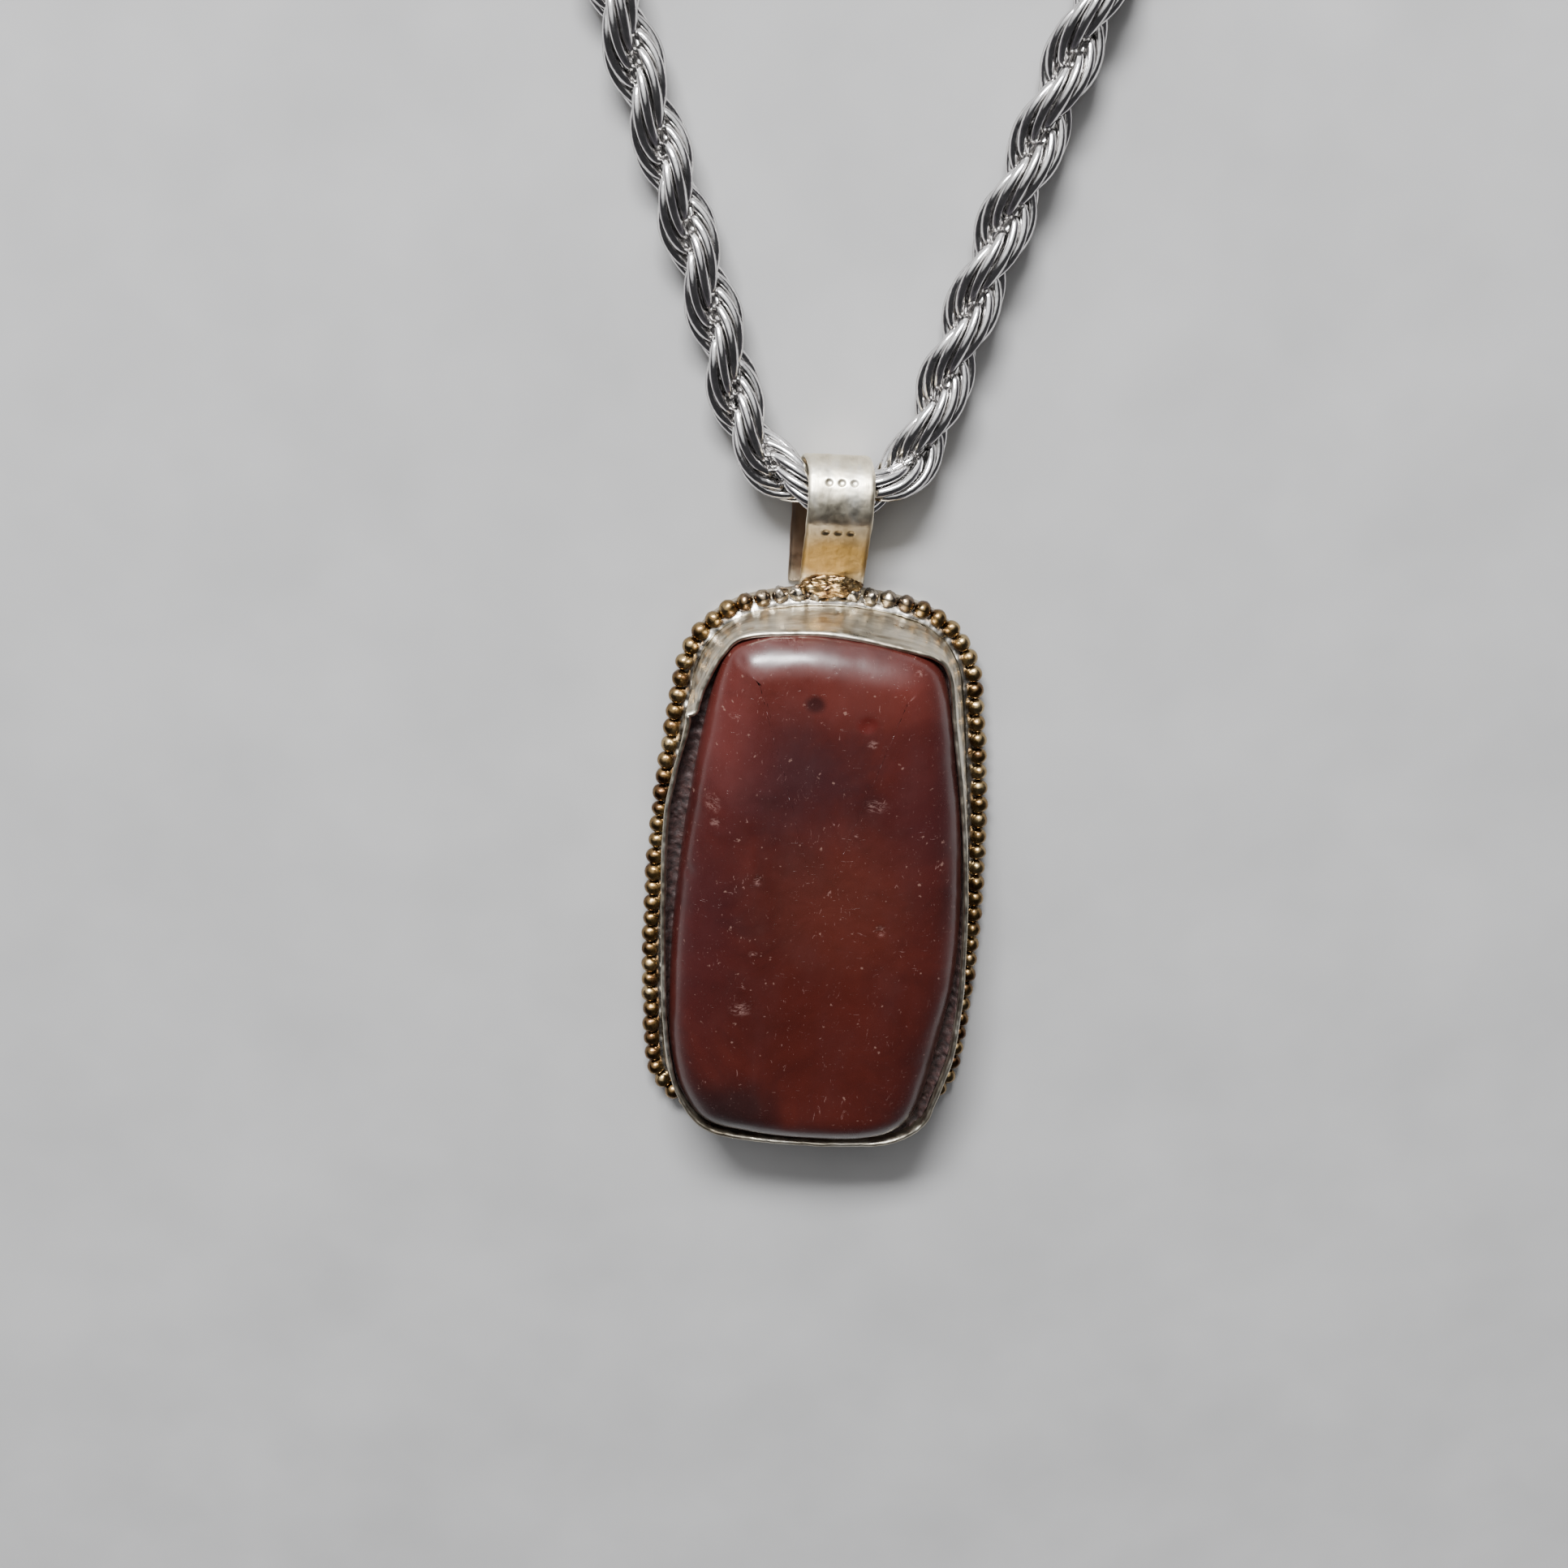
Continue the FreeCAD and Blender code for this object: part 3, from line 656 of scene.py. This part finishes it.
def solder_material():
    n = Nodes("flowed_solder")
    n.set(Metallic=1.0)
    n.colour(n.ramp(n.noise(700, 5, 0.65), (0.32, (0.25, 0.19, 0.13)), (0.5, (0.62, 0.58, 0.51)),
                    (0.7, (0.85, 0.82, 0.76))))
    n.rough(n.ramp(n.noise(1300, 4), (0.3, 0.2), (0.7, 0.45)))
    n.bump(n.noise(1100, 5), 0.1, 0.6)
    return n.material


def loop_piece(name, profiles, node, material):
    """A closed band from profiles, a list of loops of places in mm that go round its section."""
    count = len(profiles[0])
    points = np.vstack(profiles) * MM
    faces = bridge(len(profiles), count, wrap=True)
    piece = mesh_piece(name, points, [tuple(reversed(f)) for f in faces], "pendant", material)
    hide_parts(node)
    return piece


def rim_height(x, y):
    """The strip's hand-cut top edge."""
    return RIM_HEIGHT + 0.22 * rough_at((x, y, 0), 0.13, 9.0, 2) + 0.10 * rough_at((x, y, 0), 0.8, 2.0, 2)


def bezel_piece():
    """The strip from its even foot to its uneven rim, dented in between."""
    foot = setting_outline(WALL_INSET, OUTLINE_COUNT)
    rim = smooth_loop(RIM, OUTLINE_COUNT)
    heights = np.array([rim_height(x, y) for x, y in rim])
    levels = np.linspace(0, 1, 15)
    outer = []
    for level in levels:
        lean = level**1.3
        place = foot + (rim - foot) * lean
        normal = outward(place)
        z = PLATE_TOP + (heights - PLATE_TOP) * level
        dent = np.array([0.10 * rough_at((p[0], p[1], 6 * level), 0.45, 4.0, 3) for p in place])
        place = place + normal * (dent * math.sin(math.pi * min(level * 0.8 + 0.1, 1)))[:, None]
        outer.append(np.column_stack([place, z]))
    inner = []
    for ring in outer[::-1]:
        normal = outward(ring[:, :2])
        inner.append(np.column_stack([ring[:, :2] - normal * WALL_THICKNESS, ring[:, 2]]))
    crest = np.column_stack([outer[-1][:, :2] - outward(outer[-1][:, :2]) * WALL_THICKNESS / 2,
                             outer[-1][:, 2] + CREST])
    return loop_piece("bezel_strip", outer + [crest] + inner, "bezel_wall", bezel_material())


def cement_piece():
    """The grainy bed between the stone and the wall, a little hollow in its middle."""
    count = OUTLINE_COUNT
    outer = smooth_loop(RIM, count)
    outer = outer - outward(outer) * (WALL_THICKNESS + 0.02)
    inner = smooth_loop(STONE, count)
    inner = inner - outward(inner) * 0.35
    bands = []
    steps = 9
    for step in range(steps + 1):
        share = step / steps
        place = outer + (inner - outer) * share
        z = [CEMENT_TOP - 0.35 * math.sin(math.pi * share) + 0.22 * rough_at((p[0], p[1], 0), 1.3, 6.0, 4)
             + 0.10 * rough_at((p[0], p[1], 0), 4.0, 8.0, 2) for p in place]
        bands.append(np.column_stack([place, z]))
    low = setting_outline(WALL_INSET + WALL_THICKNESS + 0.05, count)
    bands.append(np.column_stack([inner, np.full(count, 3.2)]))
    bands.append(np.column_stack([low - outward(low) * 1.2, np.full(count, PLATE_TOP + 0.02)]))
    bands.append(np.column_stack([low, np.full(count, PLATE_TOP + 0.02)]))
    return loop_piece("setting_cement_fill", bands, "setting_cement", cement_material())


def ledge_piece():
    """The uneven bright ledge between the granules and the wall."""
    count = OUTLINE_COUNT
    profiles = []
    wall = setting_outline(WALL_INSET - 0.02, count)
    edge = setting_outline(BEAD_RADIUS + 0.25, count)
    steps = 7
    for step in range(steps + 1):
        share = step / steps
        place = wall + (edge - wall) * share
        z = [PLATE_TOP + 0.05 + (LEDGE_HEIGHT + 0.3 * rough_at((p[0], p[1], 0), 0.7, 12.0, 3))
             * math.cos(share * math.pi / 2) ** 0.7 for p in place]
        profiles.append(np.column_stack([place, z]))
    profiles.append(np.column_stack([edge, np.full(count, PLATE_TOP)]))
    profiles.append(np.column_stack([wall, np.full(count, PLATE_TOP)]))
    return loop_piece("solder_ledge", profiles[::-1], "bezel_foot_wire", solder_material())


bezel_piece()
cement_piece()
ledge_piece()


# ---------------------------------------------------------------- granules
def granule_material():
    n = Nodes("bronze_granules")
    n.set(Metallic=1.0)
    tone = n.noise(420, 3)
    base = n.ramp(tone, (0.35, (0.14, 0.068, 0.028)), (0.5, (0.34, 0.215, 0.086)), (0.68, (0.64, 0.48, 0.25)))
    silver = n.near((BAIL_X, 22.5, 1.5), (7.0, 3.5, 5), 0.5)
    base = n.mix(n.math("MULTIPLY", silver, 0.8), base, (0.66, 0.61, 0.52))
    # Painted shade: the granules grow darker towards their bottoms and the plate between them.
    low_painted_shade = n.ramp(n.height("Z"), (0.0008, 1.0), (0.0017, 0.0))
    n.colour(n.mix(n.math("MULTIPLY", low_painted_shade, 0.75), base, (0.045, 0.028, 0.02)))
    n.rough(n.ramp(n.noise(1600, 3), (0.3, 0.14), (0.7, 0.34)))
    n.bump(n.noise(2200, 4), 0.05, 0.5)
    return n.material


def granules_piece():
    """A row of small soldered balls, no two alike."""
    rng = np.random.default_rng(21)
    places = setting_outline(BEAD_RADIUS, BEAD_COUNT)
    normal = outward(places)
    ball = bmesh.new()
    bmesh.ops.create_icosphere(ball, subdivisions=3, radius=1.0)
    shape = np.array([v.co for v in ball.verts])
    triangles = [tuple(v.index for v in f.verts) for f in ball.faces]
    ball.free()
    vertices, faces = [], []
    for i, (place, out) in enumerate(zip(places, normal)):
        flooded = 0.0
        if place[1] > FLOODED_ABOVE:
            flooded = math.exp(-((place[0] - BAIL_X) / FLOODED_REACH) ** 2)
        size = BEAD_RADIUS * (1.04 + rng.normal(0, 0.025) - 0.10 * flooded)
        squash = np.array([1 + rng.normal(0, 0.03), 1 + rng.normal(0, 0.03), 1 + rng.normal(0, 0.04)])
        centre = np.array([place[0], place[1], PLATE_TOP + BEAD_HEIGHT + rng.normal(0, 0.04)])
        centre[:2] -= out * abs(rng.normal(0, 0.05))
        lumpy = 0.05 + 0.26 * flooded
        lumps = np.array([1 + lumpy * rough_at(s * 1.6 + i * 3.3, 1.0, 0.5, 2) for s in shape])
        body = centre + shape * lumps[:, None] * squash * size
        start = i * len(shape)
        vertices.append(body * MM)
        faces.extend(tuple(start + k for k in tri) for tri in triangles)
    piece = mesh_piece("granule_border", np.vstack(vertices), faces, "pendant",
                       granule_material())
    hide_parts("beaded_border")
    return piece


granules_piece()


# ---------------------------------------------------------------- back plate
def plate_material():
    n = Nodes("tarnished_plate")
    n.set(Metallic=1.0)
    tone = n.noise(170, 6, 0.65)
    n.colour(n.ramp(tone, (0.32, (0.16, 0.12, 0.085)), (0.5, (0.40, 0.34, 0.25)), (0.7, (0.60, 0.55, 0.45))))
    n.rough(n.ramp(n.noise((140, 1500, 300), 5), (0.3, 0.32), (0.7, 0.55)))
    first = n.bump(n.noise(240, 4), 0.10, 0.4)
    n.bump(n.noise((300, 4200, 500), 4), 0.02, 0.5, first)
    return n.material


dress("back_plate", plate_material())


# ---------------------------------------------------------------- bail
def bail_material():
    n = Nodes("worn_bail_strap_and_painted_shade")
    n.set(Metallic=1.0)
    worn = n.noise((600, 300, 300), 5, 0.6)
    silver = n.ramp(worn, (0.32, (0.60, 0.52, 0.38)), (0.5, (0.88, 0.80, 0.62)), (0.7, (0.96, 0.92, 0.80)))
    # Painted shade: a darker band across the strap's slope, where its curved face turns from the light.
    painted_shade_band = n.mix(n.math("MULTIPLY", n.near((BAIL_X, 27.2, 6.0), (5, 2.0, 3), 0.6), 0.75), silver,
                  (0.42, 0.32, 0.19))
    # The strap's own gold tint low down, made darker there as painted shade.
    gold_tint_and_shade = n.mix(n.math("MULTIPLY", n.near((BAIL_X, 25.2, 3.6), (5, 3.4, 3.2), 0.5), 0.95), painted_shade_band,
                 (0.31, 0.185, 0.045))
    # The strap's rear leg under the bend: its own coppery colour, darkened further as painted shade.
    rear_leg_copper_and_shade = n.math("MULTIPLY", n.near((BAIL_X - 2.6, 27.0, 0.4), (3.2, 5.5, 0.9), 0.4), 0.85)
    n.colour(n.mix(rear_leg_copper_and_shade, gold_tint_and_shade, (0.20, 0.11, 0.07)))
    n.rough(n.ramp(n.noise(1000, 4), (0.3, 0.30), (0.7, 0.50)))
    n.bump(n.noise((2400, 600, 600), 4), 0.03, 0.6)
    return n.material


DOT_ROWS = (7.9, 13.0)  # distances along the strap from its foot
DOT_PLACES = (-1.1, 0.0, 1.1)
DOT_RADIUS = 0.30
DOT_DEPTH = 0.16
STRAP_FOOT = (SETTING_TOP - 0.6, 1.3)  # Y and Z
STRAP_PLACES = 520
STRAP_WIDTHS = 72
STRAP_SLOPE_PLACE = 60  # a place on the front slope, where the outer face looks up
EDGE_ROUND = 0.16  # how far the strap's face drops at its edges
EDGE_FROM = 0.86  # share of the half width where the drop begins
SHIFT_LENGTH = 9.0


def strap_line():
    """The strap's outer face from its foot, up the slope, round the chain and back to the plate."""
    foot_y, foot_z = STRAP_FOOT
    away_y, away_z = BAIL_Y - foot_y, BAIL_RADIUS - foot_z
    slope = math.atan2(away_z, away_y) + math.asin(BAIL_RADIUS / math.hypot(away_y, away_z))
    touch = (BAIL_Y - BAIL_RADIUS * math.sin(slope), BAIL_RADIUS * (1 + math.cos(slope)))
    line = [np.linspace((foot_y + 0.25, foot_z + 0.22), touch, 60)[:-1]]
    sweep = np.linspace(math.pi / 2 + slope, -math.pi / 2, 110)
    line.append(np.column_stack([BAIL_Y + BAIL_RADIUS * np.cos(sweep), BAIL_RADIUS * (1 + np.sin(sweep))]))
    line.append(np.linspace((BAIL_Y, 0.0), (SETTING_TOP - 0.2, 0.0), 40)[1:])
    return even(np.vstack(line), STRAP_PLACES)


def punched(u, v, dots):
    """Depth from 0 to 1 of the small round dots punched in the strap's face."""
    return max(math.exp(-(((u - u0) ** 2 + (v - v0) ** 2) / DOT_RADIUS**2) ** 2) for u0, v0 in dots)


def strap_sheets(line):
    """The strap's outer and inner faces as rows of places: rounded edges, uneven, with punched dots."""
    along = np.concatenate([[0], np.cumsum(np.linalg.norm(np.diff(line, axis=0), axis=1))])
    tangent = np.gradient(line, axis=0)
    tangent /= np.linalg.norm(tangent, axis=1)[:, None]
    normal = np.stack([-tangent[:, 1], tangent[:, 0]], 1)
    if normal[STRAP_SLOPE_PLACE][1] < 0:
        normal = -normal
    dots = [(u, s0) for s0 in DOT_ROWS for u in DOT_PLACES]
    outer, inner = [], []
    for (y, z), out, s in zip(line, normal, along):
        half = BAIL_WIDTH / 2 * (1 + 0.02 * rough_at((s, 0, 0), 0.5, 1.0, 2))
        for w in np.linspace(-1, 1, STRAP_WIDTHS):
            edge = EDGE_ROUND * (max(0.0, abs(w) - EDGE_FROM) / (1 - EDGE_FROM)) ** 2
            x = BAIL_X + w * half
            deep = -edge + 0.03 * rough_at((x, s, 0), 0.7, 2.5, 3)
            deep -= DOT_DEPTH * punched(x - BAIL_X, s, dots)
            x -= REAR_SHIFT * min(max((s - SHIFT_FROM) / SHIFT_LENGTH, 0.0), 1.0)
            outer.append((x, y + out[0] * (deep - 0.02), max(z + out[1] * (deep - 0.02), 0.0)))
            back = BAIL_THICKNESS - edge
            inner.append((x, y - out[0] * back, z - out[1] * back))
    return outer, inner


def strap_faces(rows, widths):
    """Quads of both faces, the two long edges and the two ends."""
    faces = []
    shift = rows * widths
    for j in range(rows - 1):
        for i in range(widths - 1):
            a, b = j * widths + i, (j + 1) * widths + i
            faces.append((a, a + 1, b + 1, b))
            faces.append((shift + a, shift + b, shift + b + 1, shift + a + 1))
        a, b = j * widths, (j + 1) * widths
        faces.append((a, b, shift + b, shift + a))
        a, b = a + widths - 1, b + widths - 1
        faces.append((a, shift + a, shift + b, b))
    for i in range(widths - 1):
        faces.append((i, shift + i, shift + i + 1, i + 1))
    for i in range(widths - 1):
        a = (rows - 1) * widths + i
        faces.append((a, a + 1, shift + a + 1, shift + a))
    return faces


def bail_piece():
    line = strap_line()
    outer, inner = strap_sheets(line)
    piece = mesh_piece("bail_strip", np.array(outer + inner) * MM, strap_faces(len(line), STRAP_WIDTHS),
                       "pendant", bail_material())
    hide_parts("bail_strap")
    return piece


def gold_solder_material():
    n = Nodes("gold_solder")
    n.set(Metallic=1.0)
    n.colour(n.ramp(n.noise(900, 5, 0.65), (0.34, (0.11, 0.06, 0.035)), (0.52, (0.42, 0.27, 0.12)),
                    (0.70, (0.80, 0.66, 0.40))))
    n.rough(n.ramp(n.noise(1500, 4), (0.3, 0.16), (0.7, 0.4)))
    n.bump(n.noise(1400, 5), 0.12, 0.7)
    return n.material


def solder_lump():
    """The rough lump that joins the bail's foot to the border."""
    count, rings = 96, 40
    middle = np.array([BAIL_X, SETTING_TOP + 0.15, 1.75])
    reach = np.array([2.7, 1.35, 1.05])
    points = []
    for j in range(rings + 1):
        polar = math.pi * j / rings
        for i in range(count):
            turn = 2 * math.pi * i / count
            flat = math.sin(polar)
            way = np.array([flat * math.cos(turn), flat * math.sin(turn), math.cos(polar)])
            size = 1 + 0.22 * rough_at(way * 1.9, 1.0, 3.0, 3) + 0.08 * rough_at(way * 6, 1.0, 7.0, 3)
            points.append(middle + way * size * reach)
    piece = mesh_piece("bail_solder_lump", np.array(points) * MM,
                       [tuple(reversed(f)) for f in bridge(rings + 1, count)], "pendant",
                       gold_solder_material())
    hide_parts("bail_solder")
    return piece


bail_piece()
solder_lump()


# ---------------------------------------------------------------- studio
WINDOW_PLACE = (-0.14, 0.60, 0.46)
WINDOW_SIZE = (0.36, 0.13)
WINDOW_WATTS = 15.5
WINDOW_TINT = (0.96, 0.975, 1.0)
SKY_WAY = (-0.22, 0.80, 0.56)
SKY_GLOW = (1.6, 1.62, 1.64)
WALL_GLOW = (0.13, 0.12, 0.14)
CEILING_GLOW = (0.045, 0.045, 0.048)
FLOOR_SIZE = 3.0
FLOOR_HEIGHT = -0.00002  # just under the lowest piece


def add_floor():
    n = Nodes("pale_floor")
    n.colour(n.ramp(n.noise(60, 3), (0.3, (0.388, 0.383, 0.378)), (0.7, (0.446, 0.440, 0.434))))
    n.set(Roughness=0.9)
    bpy.ops.mesh.primitive_plane_add(size=FLOOR_SIZE, location=(0, 0.05, FLOOR_HEIGHT))
    floor = bpy.context.object
    floor.name = "floor"
    floor.data.materials.append(n.material)


def add_light(name, place, target, size, power, tint=(1, 1, 1)):
    data = bpy.data.lights.new(name, "AREA")
    data.shape = "RECTANGLE"
    data.size, data.size_y = size
    data.energy = power
    data.color = tint
    light = bpy.data.objects.new(name, data)
    bpy.context.scene.collection.objects.link(light)
    light.location = place
    light.rotation_euler = (Vector(target) - Vector(place)).to_track_quat("-Z", "Y").to_euler()


def room_light(tree):
    """A bright side beyond the bail, dim walls near the horizon, and darker still overhead."""
    place = tree.nodes.new("ShaderNodeTexCoord").outputs["Generated"]
    split = tree.nodes.new("ShaderNodeSeparateXYZ")
    tree.links.new(place, split.inputs[0])
    facing = tree.nodes.new("ShaderNodeVectorMath")
    facing.operation = "DOT_PRODUCT"
    facing.inputs[1].default_value = SKY_WAY
    tree.links.new(place, facing.inputs[0])
    walls = light_ramp(tree, split.outputs["Z"], (0.10, WALL_GLOW), (0.50, CEILING_GLOW))
    sky = light_ramp(tree, facing.outputs["Value"], (0.55, (0.0, 0.0, 0.0)), (0.90, SKY_GLOW))
    total = tree.nodes.new("ShaderNodeVectorMath")
    tree.links.new(walls, total.inputs[0])
    tree.links.new(sky, total.inputs[1])
    background = tree.nodes["Background"]
    tree.links.new(total.outputs[0], background.inputs["Color"])


def light_ramp(tree, source, low, high):
    ramp = tree.nodes.new("ShaderNodeValToRGB")
    tree.links.new(source, ramp.inputs["Fac"])
    for element, (position, colour) in zip(ramp.color_ramp.elements, (low, high)):
        element.position = position
        element.color = (*colour, 1)
    return ramp.outputs["Color"]


def add_studio():
    add_floor()
    world = bpy.data.worlds.new("studio")
    bpy.context.scene.world = world
    world.use_nodes = True
    room_light(world.node_tree)
    add_light("window", WINDOW_PLACE, (0, 0, 0), WINDOW_SIZE, WINDOW_WATTS, WINDOW_TINT)


add_studio()
